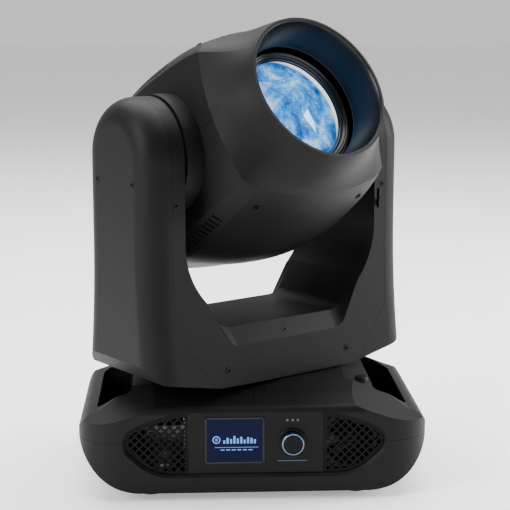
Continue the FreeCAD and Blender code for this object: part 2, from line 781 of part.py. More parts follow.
def make_tilt_lock():
    slot_x, slot_low, slot_high = tilt_lock_slot()
    front = d.arm_half_depth
    stand_off = 3.7
    behind_wall = 0.5
    keeper = 3
    keeper_width = 6
    keeper_height = 16
    depth = stand_off + d.wall + behind_wall + 1
    tab = fuse([box(3.4, depth, 8, place(slot_x, -(front + stand_off - depth / 2),
                                         slot_low + 3)),
                box(keeper_width, keeper, keeper_height,
                    place(slot_x, -(front - d.wall - behind_wall - keeper / 2), slot_low))])
    node(tab, "tilt_lock_slider", YOKE)


def make_yoke_screws():
    heads = []
    for spot, outward in yoke_screw_sites():
        turn = FreeCAD.Rotation(vec(0, 0, 1), vec(*outward))
        at = FreeCAD.Placement(vec(*spot), turn)
        heads.append(cut(cylinder(3.6, 3.4, at * place(0, 0, -3)),
                         cylinder(1.7, 2.4, at * place(0, 0, -1.9))))
    node(group(heads), "yoke_screws", YOKE)


def make_yoke_frame():
    inner_edges = mirrored(throat_outline((137, 264), (118, 233), (94, 200), 76,
                                          d.crossbar_top))
    near = d.wall + 0.5
    half_depth = 50
    half_deck = 97
    web = 3
    above_axis = 38
    shaft_opening = 30
    bearing_opening = 22
    outline = face(inner_edges, "XZ", -float(half_depth))
    strip = grown(outline, near + d.frame_sheet).cut(grown(outline, near))
    strip = strip.extrude(vec(0, 2 * half_depth, 0))
    strip = strip.common(solid_box((-FAR, FAR), (-FAR, FAR), (0, d.tilt_height + above_axis)))
    low = d.yoke_bottom + 4.3
    across = (-half_depth, half_depth)
    deck = solid_box((-half_deck, half_deck), across, (low, low + d.frame_sheet))
    webs = [solid_box((x, x + web), across, (low, d.crossbar_top + 1))
            for x in (-half_deck, half_deck - web)]
    frame = strip.fuse([deck] + webs)
    frame = frame.cut(round_bar(shaft_opening, (0, 0, 100), (0, 0, 1), 60))
    frame = frame.cut(round_bar(bearing_opening, (-FAR, 0, d.tilt_height), (1, 0, 0), 2 * FAR))
    feature(frame, "yoke_frame", YOKE)


def motor(side, length, shaft_length, at):
    body = box(side, side, length, at)
    shaft = cylinder(d.motor_shaft_radius, shaft_length + 1, at * place(0, 0, length - 1))
    return fuse([body, shaft])


def pulley(radius, bore, width):
    """Toothed belt pulley with two low flanges."""
    rim = radius + 1.2
    return lathe([(bore, 0), (rim, 0), (rim, 0.8), (radius, 0.8), (radius, width - 0.8),
                  (rim, width - 0.8), (rim, width), (bore, width)])


def belt(distance):
    """Flat belt round the large pulley at the origin and the small one along +X."""
    gap = 0.25
    width = d.pulley_width - 2.4

    def loop(extra):
        large = float(d.large_pulley_radius) + extra
        small = float(d.small_pulley_radius) + extra
        lean = math.acos((large - small) / float(distance))
        top_large = (large * math.cos(lean), large * math.sin(lean))
        top_small = (float(distance) + small * math.cos(lean), small * math.sin(lean))
        edges = path((top_large[0], -top_large[1]), (top_small[0], -top_small[1]),
                     ((float(distance) + small, 0), top_small), top_large,
                     ((-large, 0), (top_large[0], -top_large[1])))
        return face(edges, "XY", 0.0)

    ring = loop(gap + float(d.belt_thickness)).cut(loop(gap))
    return ring.extrude(vec(0, 0, width))


def make_pan_drive():
    low = d.yoke_bottom + 4.3 + d.frame_sheet
    node(tube(d.bearing_radius, d.shaft_radius + d.fit, d.bearing_width), "pan_bearing", YOKE,
         place(0, 0, low))
    level = low + d.motor_length + 1.5
    at = place(d.pan_motor_x, 0, low)
    node(motor(d.motor_side, d.motor_length, d.pulley_width + 2, place()), "pan_motor", YOKE, at)
    node(pulley(d.small_pulley_radius, d.motor_shaft_radius + d.fit, d.pulley_width),
         "pan_motor_pulley", YOKE, place(d.pan_motor_x, 0, level))
    node(pulley(d.large_pulley_radius, d.shaft_radius + 0.1, d.pulley_width), "pan_pulley", BASE,
         place(0, 0, level))
    loop = belt(-d.pan_motor_x)
    loop.Placement = place(0, 0, level + 1.2, (0, 0, 1), 180)
    feature(loop.copy(), "pan_belt", YOKE * loop.Placement)


def make_tilt_drive():
    """Tilt motor and belt in the left arm; local +Z of each piece points outward, -X."""
    outward = place(axis=(0, 1, 0), angle=-90)
    sheet_face = d.arm_inner + d.wall + 0.5 + d.frame_sheet
    axis_z = d.tilt_height
    motor_z = axis_z - d.tilt_motor_drop
    bearings = []
    for sign in (-1, 1):
        start = -sheet_face - 10 if sign < 0 else sheet_face
        bearings.append(tube(28, d.tilt_shaft_radius + d.fit, 10,
                             place(start, 0, axis_z, (0, 1, 0), 90)))
    node(group(bearings), "tilt_bearings", YOKE)
    pulley_from = d.yoke_half_width - d.wall - 1.7 - d.pulley_width
    length = pulley_from - 1.5 - sheet_face
    shaft = d.pulley_width + 1
    node(motor(d.motor_side, length, shaft, place()), "tilt_motor", YOKE,
         place(-sheet_face, 0, motor_z) * outward)
    node(pulley(d.small_pulley_radius, d.motor_shaft_radius + d.fit, d.pulley_width),
         "tilt_motor_pulley", YOKE, place(-pulley_from, 0, motor_z) * outward)
    tilt_frame = YOKE * place(0, 0, axis_z)
    node(pulley(d.large_pulley_radius, d.tilt_shaft_radius + 0.1, d.pulley_width), "tilt_pulley",
         tilt_frame, place(-pulley_from, 0, 0) * outward)
    down = place(-pulley_from - 1.2, 0, axis_z) * outward * place(angle=180)
    feature(belt(d.tilt_motor_drop), "tilt_belt", YOKE * down)
    shafts = []
    for sign, reach in ((-1, pulley_from + d.pulley_width), (1, sheet_face + 16)):
        start = d.chassis_half_width
        turn = outward if sign < 0 else place(axis=(0, 1, 0), angle=90)
        one = lathe([(d.tilt_shaft_bore, start), (30, start), (30, start + 3),
                     (d.tilt_shaft_radius, start + 3), (d.tilt_shaft_radius, reach),
                     (d.tilt_shaft_bore, reach)])
        one.Placement = turn
        shafts.append(one)
    node(group(shafts), "tilt_shafts", tilt_frame)


# ---------------------------------------------------------------- head housing
def head_section(level, width, shoulder, corner, height, inset=0):
    """Closed section of the head at a level: side, chamfered corner and gently bowed top."""
    width = float(width) - inset
    height = float(height) - inset
    shoulder = (shoulder[0] - inset * 0.95, shoulder[1] - inset * 0.45)
    corner = (corner[0] - inset * 0.5, corner[1] - inset * 0.9)
    side_bow = (width + shoulder[0]) / 2 + 2.5
    side_mid = (side_bow, shoulder[1] / 2)
    cut_mid = ((shoulder[0] + corner[0]) / 2 + 0.8, (shoulder[1] + corner[1]) / 2 + 0.8)
    top_mid = (corner[0] / 2, (corner[1] + height) / 2 + (height - corner[1]) * 0.27)
    quarter = [((width, 0), side_mid, shoulder), (shoulder, cut_mid, corner),
               (corner, top_mid, (0, height))]
    edges = list(quarter)
    edges += [tuple((-a, b) for a, b in reversed(edge)) for edge in reversed(quarter)]
    edges += [tuple((-a, -b) for a, b in edge) for edge in quarter]
    edges += [tuple((a, -b) for a, b in reversed(edge)) for edge in reversed(quarter)]
    curves = [Part.Arc(*[vec(a, b, level) for a, b in edge]).toShape() for edge in edges]
    return Part.Wire(curves)


def ring_section(level, radius):
    """Round section with its corners where the head's corners run in."""
    radius = float(radius)
    angles = [0, 38, 47, 90, 133, 142, 180, 218, 227, 270, 313, 322, 360]
    curves = []
    for start, end in zip(angles, angles[1:]):
        spots = [math.radians(turn) for turn in (start, (start + end) / 2, end)]
        points = [vec(radius * math.cos(turn), radius * math.sin(turn), level) for turn in spots]
        curves.append(Part.Arc(*points).toShape())
    return Part.Wire(curves)


def seam_section(inset, level=None):
    """The section where hood and shells meet."""
    level = d.hood_seam if level is None else level
    return head_section(level, d.head_half_width - 4, (103, 80), (86, 92),
                        d.head_half_height - 14, inset)


def head_body(inset):
    """Closed form of the two shells from the rear to the hood seam."""
    width = d.head_half_width
    height = d.head_half_height
    rear = float(d.head_rear) + inset
    sections = [
        head_section(rear, width - 31, (80, 54), (62, 70), height - 40, inset),
        head_section(rear + 8, width - 22, (89, 62), (71, 79), height - 32, inset),
        head_section(-109, width - 5, (107, 79), (89, 94), height - 14, inset),
        head_section(-70, width, (114, 88), (94, 105), height, inset),
        head_section(20, width, (114, 88), (94, 105), height, inset),
        head_section(62, width - 1.5, (109, 85), (91, 100), height - 6, inset),
        seam_section(inset),
    ]
    return Part.makeLoft(sections, True, False)


def boss(radius, reach):
    """Round trunnion boss through the head along X."""
    return round_bar(radius, (-reach, 0, 0), (1, 0, 0), 2 * reach)


def head_screw_sites():
    """Screws in the shells' lower corner faces near the hood seam: position and direction."""
    for sign_x in (-1, 1):
        for sign_y in (-1, 1):
            yield (sign_x * 76, sign_y * 103, 68), (sign_x * 0.28, sign_y * 0.96, 0)


def vent_slots():
    """Slots along the four chamfered corners of the shells."""
    slots = []
    for sign_x in (-1, 1):
        for sign_y in (-1, 1):
            for index in range(12):
                slot = Part.makeBox(30, 14, 4, vec(-15, -7, -2))
                turn = math.degrees(math.atan2(0.76 * sign_y, 0.65 * sign_x))
                slot.Placement = place(sign_x * 104, sign_y * 97, -58 + 8 * index,
                                       (0, 0, 1), turn)
                slots.append(slot)
    return Part.makeCompound(slots)


def make_head_shells():
    gap = float(d.seam) / 2
    outer = head_body(0).fuse(boss(d.boss_radius, d.boss_reach))
    inner = head_body(float(d.wall))
    inner = inner.fuse(boss(d.boss_radius - d.wall, d.boss_reach - d.wall))
    shell = outer.cut(inner)
    shell = shell.cut(boss(d.tilt_shaft_radius + 0.8, d.boss_reach + 5))
    shell = shell.cut(round_bar(50.3, (0, 0, d.head_rear - 5), (0, 0, 1), 20))
    shell = shell.cut(vent_slots())
    for spot, outward in head_screw_sites():
        start = [a - 8 * b for a, b in zip(spot, outward)]
        shell = shell.cut(round_bar(3.9, start, outward, 16))
    deep = (-FAR, d.hood_seam - gap)
    wide = (-FAR, FAR)
    upper = solid_box(wide, (d.head_split + gap, FAR), deep)
    lower = solid_box(wide, (-FAR, d.head_split - gap), deep)
    feature(shell.common(upper), "head_upper_shell", HEAD)
    feature(shell.common(lower), "head_lower_shell", HEAD)


def hood_form(inset):
    sections = [
        seam_section(inset),
        head_section(112, 108, (90, 70), (76, 81), 100, inset),
        ring_section(142, 92.5 - inset),
        ring_section(d.hood_rim, d.rim_radius - inset),
    ]
    return Part.makeLoft(sections, True, False)


def make_hood():
    rim = float(d.hood_rim)
    inset = float(d.wall)
    outer = hood_form(0)
    cavity = hood_form(inset).common(round_bar(FAR, (0, 0, 0), (0, 0, 1), rim - 14))
    throat_at = float(d.hood_throat_at)
    lip = float(d.rim_radius - d.rim_lip)
    inner = Part.makeCone(float(d.hood_throat), lip, rim + 0.5 - throat_at,
                          vec(0, 0, throat_at))
    tube_wall = Part.makeCone(float(d.hood_throat) + 2.5, lip + 2.5, rim - throat_at,
                              vec(0, 0, throat_at))
    hood = outer.cut(cavity.cut(tube_wall)).cut(inner)
    feature(hood, "front_hood", HEAD)


def make_head_optics():
    seat = d.lens_seat
    node(lathe([(d.lens_view_radius + 0.5, seat), (d.lens_view_radius + 0.5, seat + 2),
                (d.hood_throat, seat + 6), (d.bezel_radius, seat + 6), (d.bezel_radius, seat - 11),
                (d.lens_radius + 0.3, seat - 11), (d.lens_radius + 0.3, seat)]),
         "lens_bezel", HEAD)
    view = d.lens_view_radius
    dome = d.lens_dome
    ball = (view * view + dome * dome) / (2 * dome)
    sphere = doc.addObject("Part::Sphere", "dome")
    bind(sphere, Radius=ball)
    sphere.Placement = place(0, 0, seat - d.clearance + dome - ball)
    trimmed = doc.addObject("Part::Common", "dome")
    trimmed.Base = sphere
    trimmed.Tool = cylinder(view, 40, place(0, 0, seat - 1))
    edge = cylinder(d.lens_radius, 9.7, place(0, 0, seat - 10))
    node(fuse([edge, trimmed]), "front_lens", HEAD)


def make_head_frame():
    half = d.chassis_half_width
    sheet_metal = d.chassis_sheet
    side = half - sheet_metal
    parts = []
    for sign in (-1, 1):
        x_range = sorted((sign * side, sign * half))
        parts.append(solid_box(x_range, (-50, 50), (-72, 83)))
    for level, thickness, opening in ((-29.5, 2, 22), (14, 3, 32), (80, 3, 68)):
        bulkhead = solid_box((-side, side), (-60, 60), (level, level + thickness))
        if opening > 60:
            bulkhead = solid_box((-side, side), (-72, 72), (level, level + thickness))
        parts.append(bulkhead.cut(round_bar(opening, (0, 0, level - 1), (0, 0, 1), 6)))
    chassis = parts[0].fuse(parts[1:])
    for y in (-d.wheel_offset, d.wheel_offset):
        chassis = chassis.cut(round_bar(5, (0, y, -40), (0, 0, 1), 20))
    feature(chassis, "head_chassis", HEAD)
    rods = [cylinder(d.focus_rod_radius, 63, place(sign * d.focus_rod_x, 0, 17))
            for sign in (-1, 1)]
    node(group(rods), "guide_rods", HEAD)
    hole = d.focus_rod_radius + d.fit
    carriage = plate(corners(60, 40), 6,
                     [(0, 0, 30), (-d.focus_rod_x, 0, hole), (d.focus_rod_x, 0, hole)])
    lens = lathe([(0, 1), (29.8, 1), (29.8, 5), (0, 10)])
    node(group([carriage, lens]), "focus_carriage", HEAD, place(0, 0, 38))


def make_light_engine():
    board = box(60, 60, 4, place(0, 0, -66))
    collimator = doc.addObject("Part::Cone", "collimator")
    bind(collimator, Radius1=12, Radius2=20, Height=28)
    collimator.Placement = place(0, 0, -62)
    node(fuse([board, collimator]), "light_engine", HEAD)
    fins = [box(1.6, d.sink_side, d.sink_length, place(x, 0, -66 - d.sink_length))
            for x in range(-48, 49, 8)]
    base = box(d.sink_side, d.sink_side, 6, place(0, 0, -72))
    wings = box(2 * (d.chassis_half_width - d.chassis_sheet), 60, 6, place(0, 0, -72))
    node(fuse([base, wings] + fins), "heat_sink", HEAD)
    back = -66 - d.sink_length - d.fan_depth
    node(fan_frame(d.fan_side, d.fan_depth), "head_fan_frame", HEAD, place(0, 0, back))
    node(fan_rotor(d.fan_side, d.fan_depth), "head_fan_rotor", HEAD, place(0, 0, back))
    grille = wheel(50, 2.4, 3, 36, 8, 10)
    node(grille, "rear_grille", HEAD, place(0, 0, d.head_rear + 0.3))


def make_effect_wheels():
    bore = d.motor_shaft_radius + d.fit
    offset = d.wheel_offset
    node(wheel(d.wheel_radius, d.wheel_thickness, bore, offset - 2, 13, 8), "colour_wheel", HEAD,
         place(0, offset, -26))
    node(wheel(d.wheel_radius, d.wheel_thickness, bore, offset - 2, 11, 7), "gobo_wheel", HEAD,
         place(0, -offset, -18))
    node(wheel(40, 3, bore, 26, 10, 3), "prism_wheel", HEAD, place(50, 0, -8))
    motors = [
        motor(d.motor_side, 28, 8, place(0, offset, -57.5)),
        motor(d.motor_side, 28, 16, place(0, -offset, -57.5)),
        motor(28, 17, 8, place(50, 0, 14, (1, 0, 0), 180)),
    ]
    node(group(motors), "wheel_motors", HEAD)


def make_head_screws():
    heads = []
    for spot, outward in head_screw_sites():
        turn = FreeCAD.Rotation(vec(0, 0, 1), vec(*outward))
        at = FreeCAD.Placement(vec(*spot), turn)
        heads.append(cut(cylinder(3.6, 4.4, at * place(0, 0, -3)),
                         cylinder(1.7, 2.4, at * place(0, 0, -0.9))))
    node(group(heads), "head_screws", HEAD)


# ---------------------------------------------------------------- build, check and export
for make in (make_base_housing, make_front_panel, make_rear_panel, make_base_fittings,
             make_display, make_knob, make_pan_lock, make_base_inside, make_base_fan,
             make_yoke_housing, make_tilt_lock, make_yoke_screws, make_yoke_frame,
             make_pan_drive, make_tilt_drive, make_head_shells, make_hood, make_head_optics,
             make_head_frame, make_light_engine, make_effect_wheels, make_head_screws):
    make()
doc.recompute()

for item in doc.Objects:
    if "Invalid" in item.State or "Error" in item.State:
        raise RuntimeError(f"{item.Label} ({item.TypeId}) did not build: {item.State}")
for item in nodes:
    if item.Shape.isNull() or not item.Shape.isValid() or not item.Shape.Solids:
        raise RuntimeError(f"{item.Label} has no valid shape")

os.makedirs("parts", exist_ok=True)
for item in nodes:
    item.Shape.exportStep(os.path.join("parts", f"{item.Label}.step"))
    print(f"{item.Label}: {len(item.Shape.Solids)} solids, {item.Shape.Volume:.0f} mm3")
print(len(nodes), "nodes")
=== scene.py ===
"""Moving head light: finishes, small trim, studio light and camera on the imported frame."""
import json
import math

import bmesh
import bpy
from mathutils import Matrix, Vector


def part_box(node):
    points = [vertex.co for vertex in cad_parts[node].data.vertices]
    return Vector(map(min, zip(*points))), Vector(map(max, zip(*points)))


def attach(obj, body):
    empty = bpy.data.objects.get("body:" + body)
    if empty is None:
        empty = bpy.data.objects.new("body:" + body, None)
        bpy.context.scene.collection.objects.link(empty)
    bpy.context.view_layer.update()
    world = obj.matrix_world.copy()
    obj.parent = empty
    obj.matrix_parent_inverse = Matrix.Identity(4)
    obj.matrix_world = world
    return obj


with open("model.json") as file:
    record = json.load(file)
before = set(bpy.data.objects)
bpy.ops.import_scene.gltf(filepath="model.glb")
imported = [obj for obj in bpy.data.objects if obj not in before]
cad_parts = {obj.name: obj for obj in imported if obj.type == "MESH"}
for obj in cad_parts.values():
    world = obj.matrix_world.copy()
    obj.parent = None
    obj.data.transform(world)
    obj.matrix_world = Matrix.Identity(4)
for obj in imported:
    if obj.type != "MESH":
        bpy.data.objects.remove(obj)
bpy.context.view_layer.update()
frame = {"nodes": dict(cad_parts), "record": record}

MM = 0.001
record = frame["record"]
joints = {joint["name"]: joint for joint in record["behaviour"]["joints"]}
slots = {part["node"]: part["material_slot"] for part in record["subparts"]}

# The head's own frame: X along the tilt axis, Z out of the lens, origin on the tilt axis.
tilt_axis = Vector(joints["tilt"]["axis"]).normalized()
nose = Vector(joints["focus_slide"]["axis"]).normalized()
tilt_pivot = Vector(joints["tilt"]["pos_m"])
HEAD = Matrix.Translation(tilt_pivot) @ Matrix(
    (tilt_axis, nose.cross(tilt_axis), nose)).transposed().to_4x4()
FRONT = Matrix.Rotation(math.radians(90), 4, "X")        # local +Z turns to the front
REAR = Matrix.Rotation(math.radians(-90), 4, "X")        # local +Z turns to the rear


# ---------------------------------------------------------------- materials
def tone(code):
    """Linear colour of an sRGB hex value."""
    parts = [int(code[i:i + 2], 16) / 255 for i in (1, 3, 5)]
    return [p / 12.92 if p <= 0.04045 else ((p + 0.055) / 1.055) ** 2.4 for p in parts] + [1]


def add(tree, kind, inputs=None, **settings):
    """One shader node with its settings, its values and what feeds it."""
    made = tree.nodes.new(kind)
    for name, value in settings.items():
        setattr(made, name, value)
    for name, value in (inputs or {}).items():
        if isinstance(value, bpy.types.NodeSocket):
            tree.links.new(value, made.inputs[name])
        else:
            made.inputs[name].default_value = value
    return made


def start(name):
    """A new material with a cleared node tree, and the piece's own coordinates."""
    made = bpy.data.materials.new(name)
    made.use_nodes = True
    tree = made.node_tree
    tree.nodes.clear()
    here = add(tree, "ShaderNodeTexCoord").outputs["Object"]
    return made, tree, here


def close(made, tree, inputs):
    shader = add(tree, "ShaderNodeBsdfPrincipled", inputs)
    add(tree, "ShaderNodeOutputMaterial", {"Surface": shader.outputs["BSDF"]})
    made.diffuse_color = inputs["Base Color"] if isinstance(inputs["Base Color"], list) \
        else (0.2, 0.2, 0.2, 1)
    return made


def spark_eroded_abs():
    """Charcoal ABS from a spark-eroded mould: fine even grain that scatters a soft sheen."""
    made, tree, here = start("charcoal_abs_spark_eroded")
    cloud = add(tree, "ShaderNodeTexNoise", {"Vector": here, "Scale": 1 / (60 * MM),
                                             "Detail": 2.0})
    # the real grain is about 0.4 mm; drawn at 1.3 mm so that it shows
    grain = add(tree, "ShaderNodeTexNoise", {"Vector": here, "Scale": 1 / (1.3 * MM),
                                             "Detail": 2.0, "Roughness": 0.6})
    speck = add(tree, "ShaderNodeMapRange", {"Value": grain.outputs["Fac"], "From Min": 0.35,
                                             "From Max": 0.7})
    shade = add(tree, "ShaderNodeMix", {0: cloud.outputs["Fac"], 6: tone("#0a0a0a"),
                                        7: tone("#0e0e0d")}, data_type="RGBA")
    fleck = add(tree, "ShaderNodeMix", {0: speck.outputs["Result"], 6: shade.outputs[2],
                                        7: tone("#151514")}, data_type="RGBA")
    bump = add(tree, "ShaderNodeBump", {"Height": grain.outputs["Fac"], "Strength": 0.35,
                                        "Distance": 0.12 * MM})
    return close(made, tree, {"Base Color": fleck.outputs[2], "Roughness": 0.5,
                              "Specular IOR Level": 0.13, "IOR": 1.5,
                              "Normal": bump.outputs["Normal"]})


def moulded_black():
    """Black ABS with a light mould texture, for fans, bezels and sockets."""
    made, tree, here = start("black_abs_moulded")
    grain = add(tree, "ShaderNodeTexNoise", {"Vector": here, "Scale": 1 / (1.0 * MM),
                                             "Detail": 1.0})
    shade = add(tree, "ShaderNodeMix", {0: grain.outputs["Fac"], 6: tone("#070707"),
                                        7: tone("#0b0b0c")}, data_type="RGBA")
    bump = add(tree, "ShaderNodeBump", {"Height": grain.outputs["Fac"], "Strength": 0.2,
                                        "Distance": 0.08 * MM})
    return close(made, tree, {"Base Color": shade.outputs[2], "Roughness": 0.42, "IOR": 1.53,
                              "Specular IOR Level": 0.12,
                              "Normal": bump.outputs["Normal"]})


def coated_steel(name, light, dark, rough, grain_mm):
    """Powder coat on sheet steel: a low orange peel under an even colour."""
    made, tree, here = start(name)
    peel = add(tree, "ShaderNodeTexNoise", {"Vector": here, "Scale": 1 / (grain_mm * MM),
                                            "Detail": 2.0})
    shade = add(tree, "ShaderNodeMix", {0: peel.outputs["Fac"], 6: tone(dark),
                                        7: tone(light)}, data_type="RGBA")
    bump = add(tree, "ShaderNodeBump", {"Height": peel.outputs["Fac"], "Strength": 0.25,
                                        "Distance": 0.1 * MM})
    return close(made, tree, {"Base Color": shade.outputs[2], "Roughness": rough, "IOR": 1.5,
                              "Specular IOR Level": 0.1, "Normal": bump.outputs["Normal"]})


def turned_metal(name, light, dark, rough):
    """Bare metal with the fine lines that machining leaves."""
    made, tree, here = start(name)
    # the real lines are about 0.2 mm apart; drawn at 4 mm so that they show
    lines = add(tree, "ShaderNodeTexWave", {"Vector": here, "Scale": 1 / (4 * MM),
                                            "Distortion": 1.5, "Detail": 2.0},
                bands_direction="Z")
    shade = add(tree, "ShaderNodeMix", {0: lines.outputs["Fac"], 6: tone(dark),
                                        7: tone(light)}, data_type="RGBA")
    bump = add(tree, "ShaderNodeBump", {"Height": lines.outputs["Fac"], "Strength": 0.1,
                                        "Distance": 0.03 * MM})
    return close(made, tree, {"Base Color": shade.outputs[2], "Metallic": 1.0,
                              "Roughness": rough, "Normal": bump.outputs["Normal"]})


def hood_liner_paint():
    """Satin navy-black paint inside the hood: dark, with a soft blue sheen."""
    made, tree, here = start("lacquer_navy_black_satin")
    flow = add(tree, "ShaderNodeTexNoise", {"Vector": here, "Scale": 1 / (12 * MM),
                                            "Detail": 3.0})
    shade = add(tree, "ShaderNodeMix", {0: flow.outputs["Fac"], 6: tone("#05070b"),
                                        7: tone("#080b13")}, data_type="RGBA")
    bump = add(tree, "ShaderNodeBump", {"Height": flow.outputs["Fac"], "Strength": 0.1,
                                        "Distance": 0.05 * MM})
    return close(made, tree, {"Base Color": shade.outputs[2], "Roughness": 0.3,
                              "Specular IOR Level": 0.5, "IOR": 1.5,
                              "Normal": bump.outputs["Normal"]})


def foot_rubber():
    """Black rubber: dull, with a slightly dusty bloom."""
    made, tree, here = start("black_rubber_moulded")
    bloom = add(tree, "ShaderNodeTexNoise", {"Vector": here, "Scale": 1 / (6 * MM),
                                             "Detail": 4.0})
    shade = add(tree, "ShaderNodeMix", {0: bloom.outputs["Fac"], 6: tone("#121212"),
                                        7: tone("#232322")}, data_type="RGBA")
    bump = add(tree, "ShaderNodeBump", {"Height": bloom.outputs["Fac"], "Strength": 0.2,
                                        "Distance": 0.2 * MM})
    return close(made, tree, {"Base Color": shade.outputs[2], "Roughness": 0.8, "IOR": 1.52,
                              "Normal": bump.outputs["Normal"]})


def solder_mask():
    """Green solder mask over glass-fibre board, with a faint weave under it."""
    made, tree, here = start("glass_epoxy_solder_mask")
    weave = add(tree, "ShaderNodeTexChecker", {"Vector": here, "Scale": 1 / (1.2 * MM),
                                               "Color1": tone("#0d3b22"),
                                               "Color2": tone("#0f4427")})
    return close(made, tree, {"Base Color": weave.outputs["Color"], "Roughness": 0.35,
                              "IOR": 1.5})


def lens_light():
    """Polished lens lit from behind: drifting blue haze, bright cores, fine sparks and a
    painted white highlight crescent near the rim.
    """
    made, tree, here = start("optical_glass_lit")
    low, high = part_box("front_lens")
    centre = (Vector(low) + Vector(high)) / 2
    local = add(tree, "ShaderNodeMapping", {"Vector": here, "Location": centre,
                                            "Rotation": HEAD.to_euler()},
                vector_type="TEXTURE").outputs["Vector"]
    haze = add(tree, "ShaderNodeTexNoise", {"Vector": local, "Scale": 1 / (42 * MM),
                                            "Detail": 7.0, "Roughness": 0.62,
                                            "Distortion": 1.1})
    veil = add(tree, "ShaderNodeTexNoise", {"Vector": local, "Scale": 1 / (16 * MM),
                                            "Detail": 5.0, "Roughness": 0.7,
                                            "Distortion": 0.6})
    blend = add(tree, "ShaderNodeMath", {0: haze.outputs["Fac"], 1: 0.68}, operation="MULTIPLY")
    blend = add(tree, "ShaderNodeMath", {0: veil.outputs["Fac"], 1: 0.32,
                                         2: blend.outputs[0]}, operation="MULTIPLY_ADD")
    colours = add(tree, "ShaderNodeValToRGB", {"Fac": blend.outputs[0]})
    ramp = colours.color_ramp
    ramp.elements[0].position = 0.36
    ramp.elements[0].color = tone("#14324f")
    ramp.elements[1].position = 0.66
    ramp.elements[1].color = tone("#e9fbff")
    for place, code in ((0.43, "#1560b4"), (0.5, "#348fe2"), (0.57, "#86c4f8")):
        ramp.elements.new(place).color = tone(code)
    stars = add(tree, "ShaderNodeTexVoronoi", {"Vector": local, "Scale": 1 / (9 * MM)})
    spark = add(tree, "ShaderNodeMapRange", {"Value": stars.outputs["Distance"],
                                             "From Min": 0.13, "From Max": 0.03})
    lit = add(tree, "ShaderNodeMix", {0: spark.outputs["Result"], 6: colours.outputs["Color"],
                                      7: tone("#ffffff")}, data_type="RGBA")
    flat = add(tree, "ShaderNodeVectorMath", {0: local, 1: (1, 1, 0)}, operation="MULTIPLY")
    reach = add(tree, "ShaderNodeVectorMath", {0: flat.outputs[0]}, operation="LENGTH")
    edge = add(tree, "ShaderNodeMapRange", {"Value": reach.outputs["Value"],
                                            "From Min": 66 * MM, "From Max": 50 * MM,
                                            "To Min": 0.35, "To Max": 1.0})
    glow = add(tree, "ShaderNodeMix", {0: edge.outputs["Result"], 6: tone("#0c2036"),
                                       7: lit.outputs[2]}, data_type="RGBA")
    # painted highlight: a white crescent of emission along one side of the rim, standing in for
    # a reflection of the studio light
    offset = add(tree, "ShaderNodeVectorMath", {0: flat.outputs[0],
                                                1: (15 * MM, 8 * MM, 0)}, operation="ADD")
    swing = add(tree, "ShaderNodeVectorMath", {0: offset.outputs[0]}, operation="LENGTH")
    painted_highlight_crescent = add(tree, "ShaderNodeMapRange", {"Value": swing.outputs["Value"],
                                                "From Min": 72 * MM, "From Max": 77 * MM})
    glow = add(tree, "ShaderNodeMix", {0: painted_highlight_crescent.outputs["Result"], 6: glow.outputs[2],
                                       7: tone("#f4fcff")}, data_type="RGBA")
    return close(made, tree, {"Base Color": tone("#0b1c2e"), "Roughness": 0.03, "IOR": 1.52,
                              "Emission Color": glow.outputs[2], "Emission Strength": 1.6,
                              "Specular IOR Level": 0.3, "Coat Weight": 0.15,
                              "Coat Roughness": 0.02})


def screen_glass():
    """Display glass: black-blue panel glow behind a polished cover."""
    made, tree, here = start("cover_glass_over_panel")
    rows = add(tree, "ShaderNodeTexWave", {"Vector": here, "Scale": 1 / (9 * MM),
                                           "Distortion": 0.0}, bands_direction="Z")
    glow = add(tree, "ShaderNodeMix", {0: rows.outputs["Fac"], 6: tone("#050f38"),
                                       7: tone("#071444")}, data_type="RGBA")
    return close(made, tree, {"Base Color": tone("#030408"), "Roughness": 0.12, "IOR": 1.5,
                              "Specular IOR Level": 0.06,
                              "Emission Color": glow.outputs[2], "Emission Strength": 0.7})


def lit_ink(name, code, strength):
    """Back-lit shapes on the display."""
    made, tree, here = start(name)
    grid = add(tree, "ShaderNodeTexNoise", {"Vector": here, "Scale": 1 / (3 * MM)})
    glow = add(tree, "ShaderNodeMix", {0: grid.outputs["Fac"], 6: tone(code),
                                       7: tone("#6fb0ff")}, data_type="RGBA")
    return close(made, tree, {"Base Color": tone("#0a1a30"), "Roughness": 0.3,
                              "Emission Color": glow.outputs[2],
                              "Emission Strength": strength})


finishes = {
    "charcoal_plastic": spark_eroded_abs(),
    "black_plastic": moulded_black(),
    "gloss_black": coated_steel("black_abs_polished", "#070708", "#040405", 0.3, 3),
    "silver_blue": turned_metal("anodised_aluminium_steel_blue", "#6d83a0", "#4a5f7c", 0.3),
    "black_steel": coated_steel("steel_black_powder_coat", "#070707", "#040404", 0.5, 1.6),
    "sheet_steel": turned_metal("zinc_plated_sheet", "#b7b9ba", "#8e9092", 0.4),
    "bare_steel": turned_metal("steel_ground", "#c4c6c8", "#8f9194", 0.3),
    "screw_steel": coated_steel("steel_black_oxide", "#1a1a1c", "#0d0d0e", 0.35, 1.0),
    "aluminium": turned_metal("aluminium_milled", "#d4d6d8", "#a9acb0", 0.32),
    "motor_black": coated_steel("motor_case_enamel", "#202022", "#131314", 0.4, 2),
    "rubber": foot_rubber(),
    "screen_glass": screen_glass(),
    "lens_glass": lens_light(),
    "circuit_board": solder_mask(),
}
for name, item in frame["nodes"].items():
    finish = finishes[slots[name]]
    if not item.material_slots:
        item.data.materials.append(finish)
    for slot in item.material_slots:
        slot.material = finish


